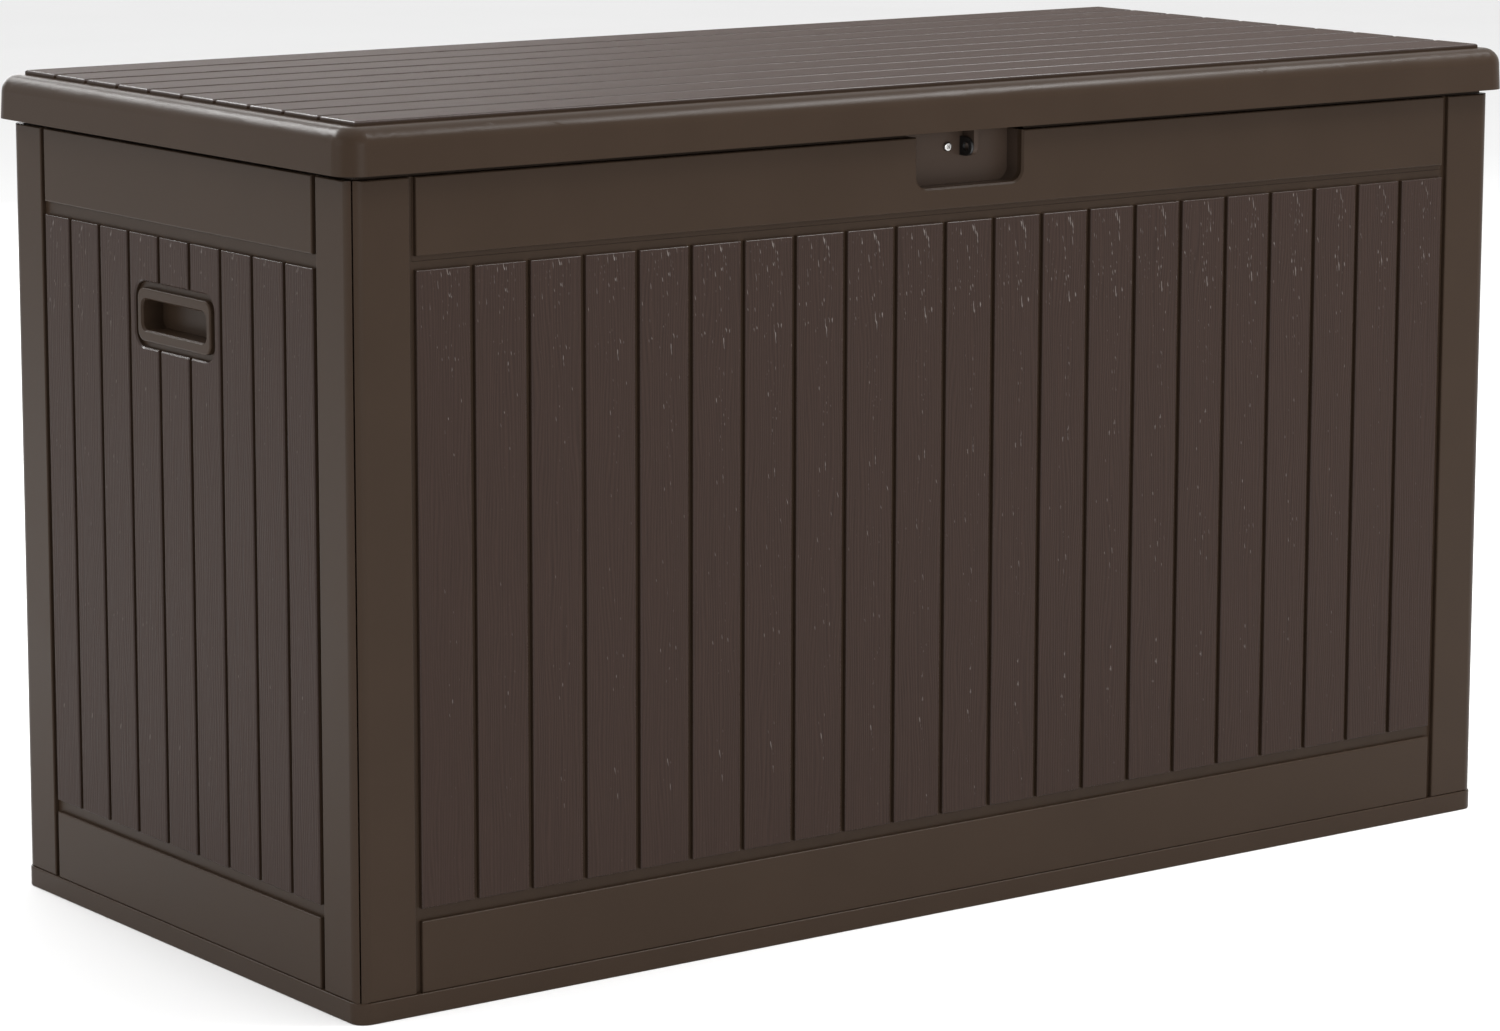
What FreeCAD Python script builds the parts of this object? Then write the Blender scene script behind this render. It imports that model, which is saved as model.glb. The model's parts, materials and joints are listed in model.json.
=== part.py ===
import FreeCAD, Part
import math
import os

# A resin deck storage box: four ribbed wall panels standing on a floor tray, a hinged
# lid held open by two gas struts, a recessed padlock eye in front and a grab handle
# let into each end.  Millimetres, +Z up, front towards -Y.  The origin is the centre
# of the footprint, on the ground.

Vec = FreeCAD.Vector

# ---- driving dimensions ------------------------------------------------------------
LID_LENGTH = 1490.0
LID_DEPTH = 684.0
TOTAL_HEIGHT = 855.0
LID_OVERHANG = 14.0

BODY_LENGTH = LID_LENGTH - 2 * LID_OVERHANG
BODY_DEPTH = LID_DEPTH - 2 * LID_OVERHANG
HALF_LENGTH = BODY_LENGTH / 2
HALF_DEPTH = BODY_DEPTH / 2
BODY_CORNER_R = 14.0

# heights of the seams and troughs in the walls
WALL_BOTTOM = 21.0
BOTTOM_RAIL_TOP = 91.0
PLANK_BOTTOM = 103.5
PLANK_TOP = 713.5
TOP_RAIL_BOTTOM = 726.8
WALL_TOP = 801.0

# wall section, measured inwards from the outer face
RELIEF = 5.0
SKIN = 3.5
GROOVE_FLOOR = RELIEF + SKIN
WALL_DEPTH = 30.0
FLANGE = 4.0
RIB = 3.0
MITRE_GAP = 1.1
EDGE_R = 1.5

# board pattern of the walls
FRONT_PLANKS = 21
FRONT_PITCH = 62.9
FRONT_BORDER = 67.7
SIDE_PLANKS = 9
SIDE_PITCH = 59.3
SIDE_BORDER = 65.6
BORDER_GROOVE = 7.0
PLANK_GROOVE = 5.6
CROSS_RIB_Z = (97.0, 253.0, 409.0, 565.0, 720.0)

# floor tray
PLINTH_PROUD = 1.5
PLINTH_CORNER_R = 16.0
FLOOR_THICK = 4.0
LIP_HEIGHT = 12.0
LIP_CLEARANCE = 0.6
FLOOR_RIB_X = 120.0
FLOOR_RIB_Y = 110.0
CENTRE_PAD = 60.0

# screws: shank radius and pilot radius are shared by every screw
SHANK_R = 2.1
PILOT_R = 2.2
BOSS_R = 5.5
HEAD_R = 4.8
HEAD_H = 3.0
BASE_SCREW_X = (-540.0, -180.0, 180.0, 540.0)
BASE_SCREW_Y = (-165.0, 165.0)
BASE_SCREW_DEPTH = 15.0
BASE_SCREW_LEN = 18.0
FOOT_BOSS_H = 19.0
TAB_SCREW_Z = (120.0, 370.0, 620.0)
TAB_SCREW_INSET = 45.0
TAB_BOTTOM = 45.0
TAB_TOP = 690.0
TAB_REACH = 29.0
TAB_GAP = 0.4

# grab handles
HANDLE_Z = 634.0
HANDLE_LENGTH = 141.0
HANDLE_HEIGHT = 53.0
HANDLE_CORNER_R = 11.0
HANDLE_MOAT = 6.5
GRIP_LENGTH = 125.0
GRIP_HEIGHT = 30.6
GRIP_CORNER_R = 8.0
GRIP_DEPTH = 23.5
HANDLE_WALL = 2.5
HANDLE_PROUD = 0.8

# padlock recess and eye
RECESS_LENGTH = 136.0
RECESS_BOTTOM = 749.0
RECESS_DEPTH = 25.0
RECESS_CORNER_R = 13.0
RECESS_LIP = 2.0
RECESS_WALL = 3.5
POCKET_EAR = 16.0
POCKET_SCREW_X = (-RECESS_LENGTH / 2 - 12.0, RECESS_LENGTH / 2 + 12.0)
POCKET_SCREW_Z = 775.0
POCKET_SCREW_LEN = 8.0
RAIL_SEAM_X = 661.8
RAIL_SEAM_Z = 721.5
RAIL_SEAM_GAP = 0.3
RAIL_SCREW_X = (-600.0, -345.0, -95.0, 95.0, 345.0, 600.0)
RAIL_SCREW_DEPTH = 19.0
RAIL_SCREW_LEN = 14.0
EYE_X = 6.3
EYE_THICK = 2.5
EYE_Z = 786.5
EYE_R = 9.5
EYE_REACH = 9.3
EYE_HOLE_R = 4.5
LOCK_SCREW_X = -10.4
EYE_FLANGE_START = -19.0
EYE_FLANGE_HALF = 10.0
TONGUE_X = EYE_X + EYE_THICK + 0.6
TONGUE_THICK = 5.0
TONGUE_TOP = 834.5
TONGUE_FOOT = 4.0
TONGUE_FOOT_REACH = 22.0
TONGUE_SCREW_SPREAD = 14.0

# lid
SKIRT_BOTTOM = 806.3
RIM_TOP = 850.5
LID_SKIN = 4.0
LID_CORNER_R = 25.0
LID_DRAFT = 2.0
LID_TOP_R = 17.0
DECK_LENGTH = 1438.0
DECK_DEPTH = 635.0
LID_PLANKS = 10
DECK_EDGE_R = 2.4
LANDING_INSET = 9.0
LANDING_THICK = 4.0
LANDING_BOTTOM = WALL_TOP + 0.3
LID_RIB_DEPTH = 22.0
LID_RIB_X = 132.0
LID_BOSS_R = 6.0
DECK_HOLLOW_X = 655.0
DECK_HOLLOW_Y = 300.0

# hinges: steel pins across moulded lugs behind the back wall
HINGE_Y = HALF_DEPTH + 8.0
HINGE_Z = 793.0
HINGE_X = (-520.0, -180.0, 180.0, 520.0)
KNUCKLE_R = 7.5
PIN_R = 4.0
PIN_HEAD_R = 6.0
FIXED_BORE_R = 4.05
RUNNING_BORE_R = 4.3
LID_LUG_W = 30.0
LID_LUG_RISE = 20.0
FIXED_LUG_W = 12.0
LUG_GAP = 0.5

# gas struts: both pivots lie on one circle about the hinge, so each strut turns at
# exactly half the lid's rate and its two halves always stay in line
STRUT_X = 686.0
STRUT_CIRCLE_R = 230.0
STRUT_LOW_ANGLE = 65.0
STRUT_HIGH_RISE = 27.0
TUBE_R = 7.5
TUBE_BORE_R = 6.3
ROD_R = 3.0
ROD_BORE_R = 3.3
PISTON_R = 6.0
EYELET_R = 8.0
EYELET_W = 14.0
NECK_END = 20.0
TUBE_END = 240.0
PISTON_START = 32.0
PISTON_LEN = 8.0
GUIDE_LEN = 5.0
BRACKET_PLATE = 2.5
BRACKET_SCREW_SPREAD = 22.0
BRACKET_TOP = 838.5
PIN_TIP_X = STRUT_X - EYELET_W / 2 - 3.5

LOW_Y = HINGE_Y - STRUT_CIRCLE_R * math.cos(math.radians(STRUT_LOW_ANGLE))
LOW_Z = HINGE_Z - STRUT_CIRCLE_R * math.sin(math.radians(STRUT_LOW_ANGLE))
HIGH_Y = HINGE_Y - math.sqrt(STRUT_CIRCLE_R ** 2 - STRUT_HIGH_RISE ** 2)
HIGH_Z = HINGE_Z + STRUT_HIGH_RISE

# the padlock hole's centre line, and where screws hold the tongue to the lid
LOCK_Y = -HALF_DEPTH + RECESS_DEPTH - EYE_REACH
TONGUE_SCREW_X = (TONGUE_X - TONGUE_SCREW_SPREAD, TONGUE_X + TONGUE_THICK + TONGUE_SCREW_SPREAD)


# ---- shape helpers -----------------------------------------------------------------
def block(x0, x1, y0, y1, z0, z1):
    """A box between two corners."""
    return Part.makeBox(x1 - x0, y1 - y0, z1 - z0, Vec(x0, y0, z0))


def rod(radius, start, end):
    """A round bar from one point to another."""
    axis = end.sub(start)
    return Part.makeCylinder(radius, axis.Length, start, axis)


def join(first, others):
    """One solid from several that touch or overlap, without leftover seams."""
    return first.fuse(list(others)).removeSplitter()


def plan_prism(length, depth, radius, z0, z1):
    """An upright prism with a rounded-rectangle plan, centred on the origin."""
    prism = block(-length / 2, length / 2, -depth / 2, depth / 2, z0, z1)
    upright = [edge for edge in prism.Edges if is_upright(edge)]
    return prism.makeFillet(radius, upright)


def is_upright(edge):
    """True for a straight edge parallel to Z."""
    box = edge.BoundBox
    return box.XLength < 1e-6 and box.YLength < 1e-6


def edges_at_height(shape, z):
    """The edges that lie in one horizontal plane."""
    return [e for e in shape.Edges if abs(e.BoundBox.ZMin - z) < 1e-4 and e.BoundBox.ZLength < 1e-4]


def edges_at_depth(shape, y):
    """The edges that lie in one plane square to Y."""
    return [e for e in shape.Edges if abs(e.BoundBox.YMin - y) < 1e-4 and e.BoundBox.YLength < 1e-4]


def rounded_outline(length, height, radius, cz, y):
    """A rounded rectangle standing in the plane Y = y, centred on x = 0 and z = cz."""
    half_l, half_h = length / 2, height / 2
    diagonal = radius * (1 - math.sqrt(0.5))
    edges = []
    corners = ((1, -1), (1, 1), (-1, 1), (-1, -1))
    ends = []
    for sx, sz in corners:
        along_z = Vec(sx * half_l, y, cz + sz * (half_h - radius))
        along_x = Vec(sx * (half_l - radius), y, cz + sz * half_h)
        middle = Vec(sx * (half_l - diagonal), y, cz + sz * (half_h - diagonal))
        first, last = (along_x, along_z) if sx * sz < 0 else (along_z, along_x)
        edges.append(Part.Arc(first, middle, last).toShape())
        ends.append((first, last))
    ordered = []
    for index in range(4):
        ordered.append(edges[index])
        start = ends[index][1]
        finish = ends[(index + 1) % 4][0]
        ordered.append(Part.LineSegment(start, finish).toShape())
    return Part.Wire(ordered)


def rounded_bar(length, height, radius, cz, y0, y1):
    """A rounded-rectangle bar running from depth y0 to depth y1."""
    face = Part.Face(rounded_outline(length, height, radius, cz, y0))
    return face.extrude(Vec(0, y1 - y0, 0))


def flared_pocket(length, height, radius, cz, y0, y1, chamfer):
    """A cutter for a pocket whose mouth at depth 0 is chamfered."""
    straight = rounded_bar(length, height, radius, cz, y0, y1)
    mouth = [
        rounded_outline(length + 2 * grow, height + 2 * grow, radius + grow, cz, y)
        for grow, y in ((2 * chamfer, -chamfer), (0.0, chamfer))
    ]
    return straight.fuse(Part.makeLoft(mouth, True, True))


def polygon_prism(points, z0, z1):
    """An upright prism on a plan polygon."""
    corners = [Vec(x, y, z0) for x, y in points]
    return Part.Face(Part.makePolygon(corners + corners[:1])).extrude(Vec(0, 0, z1 - z0))


def pan_screw(head_at, direction, length, head_r=HEAD_R, cross=False):
    """A pan-head screw: head_at is under the head, and the shank runs along direction."""
    aim = Vec(direction).normalize()
    back = head_at - aim * HEAD_H
    head = Part.makeCylinder(head_r, HEAD_H, back, aim)
    top_edges = [e for e in head.Edges if e.CenterOfMass.distanceToPoint(back) < 1e-6]
    head = head.makeFillet(HEAD_H * 0.6, top_edges)
    if cross:
        head = head.cut([cross_slot(back, aim, turn) for turn in (0.0, 90.0)])
    return head.fuse(Part.makeCylinder(SHANK_R, length, head_at, aim))


def cross_slot(centre, aim, turn):
    """One bar of a cross recess sunk into a screw head."""
    bar = block(-2.6, 2.6, -0.55, 0.55, -1.0, 1.6)
    bar.rotate(Vec(0, 0, 0), Vec(0, 0, 1), turn + 45)
    bar.Placement = FreeCAD.Placement(centre, FreeCAD.Rotation(Vec(0, 0, 1), aim)).multiply(
        bar.Placement
    )
    return bar


def mirror_x(shape):
    """The same piece on the other side of the box."""
    return shape.mirror(Vec(0, 0, 0), Vec(1, 0, 0))


def save(name, shape):
    """Write one piece, after checking that it is closed and sound."""
    if not shape.isValid():
        print("NOT VALID", name)
    print(name, "solids", len(shape.Solids), "volume_cm3", round(shape.Volume / 1000, 2))
    shape.exportStep("parts/" + name + ".step")


# ---- walls -------------------------------------------------------------------------
# Each wall is built in a frame of its own: X along the wall, Y from the outer face (0)
# inwards, Z up.  place_wall() then turns it to its side of the box.
def groove_lines(length, border, count, pitch):
    """Positions of the grooves across a wall, the two border grooves included."""
    edge = length / 2 - border
    inner = [(k - count / 2) * pitch for k in range(1, count)]
    return [-edge] + inner + [edge]


def raised_pad(x0, x1, z0, z1):
    """A raised board with softened front edges, standing on the wall's plate."""
    pad = block(x0, x1, 0.0, RELIEF + 1, z0, z1)
    return pad.makeFillet(EDGE_R, edges_at_depth(pad, 0.0))


def stile_pad(x0, x1):
    """The smooth upright border at a wall's left end; its outer side meets the corner."""
    pad = block(x0, x1, 0.0, RELIEF + 1, WALL_BOTTOM, WALL_TOP)
    softened = [
        e for e in edges_at_depth(pad, 0.0)
        if e.BoundBox.XMin > x0 + 1e-4 or e.BoundBox.XLength > 1e-4
    ]
    return pad.makeFillet(EDGE_R, softened)


def plank_spans(grooves):
    """Left and right edge of every board between the grooves."""
    spans = []
    last = len(grooves) - 2
    for index in range(len(grooves) - 1):
        left = BORDER_GROOVE / 2 if index == 0 else PLANK_GROOVE / 2
        right = BORDER_GROOVE / 2 if index == last else PLANK_GROOVE / 2
        spans.append((grooves[index] + left, grooves[index + 1] - right))
    return spans


def hollow_behind(x0, x1, z0, z1):
    """The moulded hollow behind a raised pad, leaving a skin in front of it."""
    return block(x0 + RIB, x1 - RIB, SKIN, GROOVE_FLOOR + 1, z0 + RIB, z1 - RIB)


def mitred_plan(length, depth0, depth1):
    """A wall's plan between two depths, with its ends cut at 45 degrees."""
    end = length / 2 - MITRE_GAP
    return [
        (-end + depth0, depth0),
        (end - depth0, depth0),
        (end - depth1, depth1),
        (-end + depth1, depth1),
    ]


def end_flange(length, side):
    """The slanted flange that closes one end of a wall."""
    end = length / 2 - MITRE_GAP
    slant = FLANGE * math.sqrt(2)
    plan = (
        (end, 0.0), (end - WALL_DEPTH, WALL_DEPTH),
        (end - WALL_DEPTH - slant, WALL_DEPTH), (end - slant, 0.0),
    )
    return polygon_prism([(side * x, y) for x, y in plan], WALL_BOTTOM, WALL_TOP)


def wall(length, across, border, count, pitch, filled=(), cut_ribs=(), extra=()):
    """One ribbed wall.  filled: solids added in front; cut_ribs: cleared of ribs."""
    grooves = groove_lines(length, border, count, pitch)
    planks = plank_spans(grooves)
    edge = length / 2
    stile = edge - border + BORDER_GROOVE / 2
    rail = edge - border - BORDER_GROOVE / 2
    pads = [raised_pad(x0, x1, PLANK_BOTTOM, PLANK_TOP) for x0, x1 in planks]
    pads.append(raised_pad(-rail, rail, WALL_BOTTOM, BOTTOM_RAIL_TOP))
    pads.append(raised_pad(-rail, rail, TOP_RAIL_BOTTOM, WALL_TOP))
    left_stile = stile_pad(-edge, -stile)
    pads += [left_stile, mirror_x(left_stile)]
    plate = block(-edge, edge, RELIEF, GROOVE_FLOOR, WALL_BOTTOM, WALL_TOP)
    shell = plate.fuse(pads + list(filled))
    hollows = [hollow_behind(x0, x1, PLANK_BOTTOM, PLANK_TOP) for x0, x1 in planks]
    hollows.append(hollow_behind(-rail, rail, WALL_BOTTOM, BOTTOM_RAIL_TOP))
    hollows.append(hollow_behind(-rail, rail, TOP_RAIL_BOTTOM, WALL_TOP))
    for side in (-1, 1):
        inner, outer = sorted((side * stile, side * (edge - BODY_CORNER_R - RIB)))
        hollows.append(hollow_behind(inner, outer, WALL_BOTTOM, WALL_TOP))
    if filled:
        hollows = [hollow.cut(list(filled)) for hollow in hollows]
    shell = shell.cut(hollows)
    half = count // 2
    uprights = [grooves[k] for k in range(0, half + 1, 2)]
    ribs = [block(x - RIB / 2, x + RIB / 2, RELIEF, WALL_DEPTH, WALL_BOTTOM, WALL_TOP)
            for x in uprights + [-x for x in uprights]]
    for z in CROSS_RIB_Z:
        ribs.append(block(-stile, stile, RELIEF, WALL_DEPTH, z - RIB / 2, z + RIB / 2))
        if PLANK_BOTTOM < z < PLANK_TOP:
            ribs += [block(x0 + RIB, x1 - RIB, SKIN, RELIEF + 1, z - RIB / 2, z + RIB / 2)
                     for x0, x1 in planks]
    if cut_ribs:
        ribs = [rib.cut(list(cut_ribs)) for rib in ribs]
    frame = [
        block(-edge, edge, RELIEF, WALL_DEPTH, WALL_BOTTOM, WALL_BOTTOM + FLANGE),
        block(-edge, edge, RELIEF, WALL_DEPTH, WALL_TOP - FLANGE, WALL_TOP),
        end_flange(length, 1),
        end_flange(length, -1),
    ]
    whole = shell.fuse(ribs + frame + list(extra))
    envelope = polygon_prism(mitred_plan(length, 0.0, WALL_DEPTH), WALL_BOTTOM, WALL_TOP)
    corners = plan_prism(length, across, BODY_CORNER_R, WALL_BOTTOM, WALL_TOP)
    corners.translate(Vec(0, across / 2, 0))
    return whole.common(envelope).common(corners).removeSplitter()


def screw_boss(x, z):
    """A boss from the skin to the wall's inner face, for a screw driven outwards."""
    return rod(BOSS_R, Vec(x, SKIN, z), Vec(x, WALL_DEPTH, z))


def boss_pilot(x, z):
    """The blind hole in such a boss."""
    return rod(PILOT_R, Vec(x, GROOVE_FLOOR, z), Vec(x, WALL_DEPTH + 1, z))


def foot_boss(x):
    """A boss standing on the bottom flange, for a screw driven up through the floor."""
    top = WALL_BOTTOM + FOOT_BOSS_H
    return rod(BOSS_R, Vec(x, BASE_SCREW_DEPTH, WALL_BOTTOM), Vec(x, BASE_SCREW_DEPTH, top))


def foot_pilot(x):
    """The blind hole in a foot boss."""
    top = WALL_BOTTOM + FOOT_BOSS_H - 2
    return rod(PILOT_R, Vec(x, BASE_SCREW_DEPTH, WALL_BOTTOM - 1), Vec(x, BASE_SCREW_DEPTH, top))


def place_wall(shape, turn, x, y):
    """Turn a wall about Z and move its outer face to its side of the box."""
    shape.rotate(Vec(0, 0, 0), Vec(0, 0, 1), turn)
    shape.translate(Vec(x, y, 0))
    return shape


def long_wall_bosses():
    """Bosses shared by the front and back walls, and the holes in them."""
    tab_x = HALF_LENGTH - TAB_SCREW_INSET
    spots = [(side * tab_x, z) for side in (-1, 1) for z in TAB_SCREW_Z]
    bosses = [screw_boss(x, z) for x, z in spots] + [foot_boss(x) for x in BASE_SCREW_X]
    holes = [boss_pilot(x, z) for x, z in spots] + [foot_pilot(x) for x in BASE_SCREW_X]
    return bosses, holes


def recess_cutter(wall, y0, y1):
    """The padlock recess's outline, grown by a wall thickness, between two depths."""
    height = 2 * (WALL_TOP - RECESS_BOTTOM + wall)
    return rounded_bar(
        RECESS_LENGTH + 2 * wall, height, RECESS_CORNER_R + wall, WALL_TOP, y0, y1
    )


def front_rail_region(inset):
    """The part of the front wall that its separate top rail takes up."""
    edge = RAIL_SEAM_X - inset
    return block(-edge, edge, -1.0, WALL_DEPTH + 1, RAIL_SEAM_Z + inset, WALL_TOP + 1)


def rail_flanges():
    """The flanges along the top rail's lower edge and at its two ends."""
    edge = RAIL_SEAM_X - RAIL_SEAM_GAP
    foot = RAIL_SEAM_Z + RAIL_SEAM_GAP
    flanges = [block(-edge, edge, RELIEF, WALL_DEPTH, foot, foot + RIB)]
    for x0 in (-edge, edge - RIB):
        flanges.append(block(x0, x0 + RIB, RELIEF, WALL_DEPTH, foot, WALL_TOP))
    return flanges


def rail_bosses():
    """Bosses on the top rail's lower flange, and the screw holes up through both pieces."""
    foot = RAIL_SEAM_Z + RAIL_SEAM_GAP
    low = CROSS_RIB_Z[-1] - RIB
    bosses = []
    holes = []
    for x in RAIL_SCREW_X:
        spot = Vec(x, RAIL_SCREW_DEPTH, foot)
        bosses.append(rod(BOSS_R, spot, spot + Vec(0, 0, RAIL_SCREW_LEN)))
        under = Vec(x, RAIL_SCREW_DEPTH, low)
        holes.append(rod(PILOT_R, under, spot + Vec(0, 0, RAIL_SCREW_LEN - 2)))
    return bosses, holes


def whole_front():
    """The front wall before its top rail is parted from it."""
    bosses, holes = long_wall_bosses()
    rail_posts, rail_holes = rail_bosses()
    reach = RECESS_LENGTH / 2 + RECESS_WALL + POCKET_EAR
    sill = RECESS_BOTTOM - RECESS_WALL - RIB
    surround = block(-reach, reach, RELIEF - 1, GROOVE_FLOOR, sill, WALL_TOP)
    pocket_room = block(-reach - 1, reach + 1, GROOVE_FLOOR, WALL_DEPTH + 1, sill, WALL_TOP + 1)
    panel = wall(
        BODY_LENGTH, BODY_DEPTH, FRONT_BORDER, FRONT_PLANKS, FRONT_PITCH, [surround], (),
        bosses + rail_posts + rail_flanges(),
    )
    opening = flared_pocket(
        RECESS_LENGTH, 2 * (WALL_TOP - RECESS_BOTTOM), RECESS_CORNER_R, WALL_TOP,
        -1.0, GROOVE_FLOOR + 1, RECESS_LIP,
    )
    pilots = [
        rod(PILOT_R, Vec(x, SKIN - 0.5, POCKET_SCREW_Z), Vec(x, GROOVE_FLOOR + 1, POCKET_SCREW_Z))
        for x in POCKET_SCREW_X
    ]
    return panel.cut([opening, pocket_room] + holes + rail_holes + pilots)


def front_panel(whole):
    """The front wall below its top rail, with the stiles that run up beside the rail."""
    panel = whole.cut(front_rail_region(0.0)).removeSplitter()
    return place_wall(panel, 0, 0, -HALF_DEPTH)


def front_top_rail(whole):
    """The rail across the top of the front wall, open in the middle for the lock pocket."""
    rail = whole.common(front_rail_region(RAIL_SEAM_GAP)).removeSplitter()
    return place_wall(rail, 0, 0, -HALF_DEPTH)


def front_rail_screws():
    """Six screws up through the front wall's top rib into the rail."""
    seat = CROSS_RIB_Z[-1] - RIB / 2
    y = RAIL_SCREW_DEPTH - HALF_DEPTH
    return Part.Compound([
        pan_screw(Vec(x, y, seat), Vec(0, 0, 1), RAIL_SCREW_LEN) for x in RAIL_SCREW_X
    ])


def lock_pocket():
    """The cup behind the front wall's opening, with the eye's slot and two screw ears."""
    reach = RECESS_LENGTH / 2 + RECESS_WALL + POCKET_EAR
    cup = recess_cutter(RECESS_WALL, GROOVE_FLOOR, RECESS_DEPTH + RECESS_WALL)
    ears = block(
        -reach, reach, GROOVE_FLOOR, GROOVE_FLOOR + RIB,
        POCKET_SCREW_Z - POCKET_EAR / 2, POCKET_SCREW_Z + POCKET_EAR / 2,
    )
    above = block(-reach, reach, -1.0, WALL_DEPTH, WALL_TOP, 2 * WALL_TOP)
    slot = block(
        EYE_X - 0.3, EYE_X + EYE_THICK + 0.3, RECESS_DEPTH - 1, WALL_DEPTH + 1,
        EYE_Z - EYE_R - 0.3, EYE_Z + EYE_R + 0.3,
    )
    holes = [
        rod(PILOT_R, Vec(LOCK_SCREW_X, RECESS_DEPTH - 1, EYE_Z), Vec(LOCK_SCREW_X, WALL_DEPTH, EYE_Z))
    ]
    for x in POCKET_SCREW_X:
        holes.append(
            rod(PILOT_R + 0.2, Vec(x, RELIEF, POCKET_SCREW_Z), Vec(x, WALL_DEPTH, POCKET_SCREW_Z))
        )
    pocket = cup.fuse(ears).cut([recess_cutter(0.0, 0.0, RECESS_DEPTH), above, slot] + holes)
    return place_wall(pocket.removeSplitter(), 0, 0, -HALF_DEPTH)


def lock_pocket_screws():
    """Two screws from behind through the pocket's ears into the front wall."""
    seat = -HALF_DEPTH + GROOVE_FLOOR + RIB
    return Part.Compound([
        pan_screw(Vec(x, seat, POCKET_SCREW_Z), Vec(0, -1, 0), POCKET_SCREW_LEN)
        for x in POCKET_SCREW_X
    ])


def back_panel():
    """The back wall, with the fixed lugs of the four hinges."""
    bosses, holes = long_wall_bosses()
    panel = wall(BODY_LENGTH, BODY_DEPTH, FRONT_BORDER, FRONT_PLANKS, FRONT_PITCH, (), (), bosses)
    panel = place_wall(panel.cut(holes), 180, 0, HALF_DEPTH)
    lugs = []
    bores = []
    for x in HINGE_X:
        near = x + LID_LUG_W / 2 + LUG_GAP
        for x0 in (near, 2 * x - near - FIXED_LUG_W):
            lugs.append(fixed_lug(x0))
        reach = LID_LUG_W / 2 + FIXED_LUG_W + 2
        ends = (Vec(x - reach, HINGE_Y, HINGE_Z), Vec(x + reach, HINGE_Y, HINGE_Z))
        bores.append(rod(FIXED_BORE_R, *ends))
    return join(panel, lugs).cut(bores)


def fixed_lug(x0):
    """One fixed hinge lug: a knuckle on a tapering web against the wall."""
    wall_y = HALF_DEPTH - 1
    outline = [
        Vec(x0, wall_y, HINGE_Z - 45),
        Vec(x0, HINGE_Y + KNUCKLE_R * 0.6, HINGE_Z - KNUCKLE_R * 0.8),
        Vec(x0, HINGE_Y, HINGE_Z),
        Vec(x0, HINGE_Y - 2, HINGE_Z + KNUCKLE_R - 0.3),
        Vec(x0, wall_y, HINGE_Z + KNUCKLE_R - 2),
    ]
    web = Part.Face(Part.makePolygon(outline + outline[:1])).extrude(Vec(FIXED_LUG_W, 0, 0))
    knuckle = rod(KNUCKLE_R, Vec(x0, HINGE_Y, HINGE_Z), Vec(x0 + FIXED_LUG_W, HINGE_Y, HINGE_Z))
    return web.fuse(knuckle)


def side_panel(sign):
    """An end wall (sign +1 right, -1 left): handle opening, strut bosses, corner tabs."""
    low_u = sign * LOW_Y
    spots = [(low_u, LOW_Z + dz) for dz in (-BRACKET_SCREW_SPREAD, BRACKET_SCREW_SPREAD)]
    bosses = [screw_boss(x, z) for x, z in spots] + [foot_boss(x) for x in BASE_SCREW_Y]
    holes = [boss_pilot(x, z) for x, z in spots] + [foot_pilot(x) for x in BASE_SCREW_Y]
    moat_l = HANDLE_LENGTH + 2 * HANDLE_MOAT
    moat_h = HANDLE_HEIGHT + 2 * HANDLE_MOAT
    seat = rounded_bar(
        moat_l + 10, moat_h + 10, HANDLE_CORNER_R + 10, HANDLE_Z, RELIEF - 1, GROOVE_FLOOR
    )
    cup_l = GRIP_LENGTH + 2 * HANDLE_WALL
    cup_h = GRIP_HEIGHT + 2 * HANDLE_WALL
    cup_room = block(
        -cup_l / 2 - 4, cup_l / 2 + 4, GROOVE_FLOOR, WALL_DEPTH + 1,
        HANDLE_Z - cup_h / 2 - 5, HANDLE_Z + cup_h / 2 + 5,
    )
    panel = wall(
        BODY_DEPTH, BODY_LENGTH, SIDE_BORDER, SIDE_PLANKS, SIDE_PITCH, [seat], [cup_room], bosses
    )
    moat = flared_pocket(
        moat_l, moat_h, HANDLE_CORNER_R + HANDLE_MOAT, HANDLE_Z, -1.0, RELIEF, EDGE_R
    )
    hole = rounded_bar(cup_l + 2, cup_h + 2, GRIP_CORNER_R + 3, HANDLE_Z, 0.0, GROOVE_FLOOR + 1)
    panel = panel.cut([moat, hole] + holes)
    tabs = []
    tab_holes = []
    for end in (-1, 1):
        inner_y = end * (HALF_DEPTH - WALL_DEPTH - TAB_GAP)
        outer_y = inner_y - end * FLANGE
        y0, y1 = sorted((inner_y, outer_y))
        tabs.append(block(y0, y1, GROOVE_FLOOR - 1, WALL_DEPTH + TAB_REACH, TAB_BOTTOM, TAB_TOP))
        for z in TAB_SCREW_Z:
            tab_holes.append(
                rod(PILOT_R + 0.2, Vec(y0 - 1, TAB_SCREW_INSET, z), Vec(y1 + 1, TAB_SCREW_INSET, z))
            )
    panel = join(panel, tabs).cut(tab_holes)
    return place_wall(panel, sign * 90, sign * HALF_LENGTH, 0)


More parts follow.
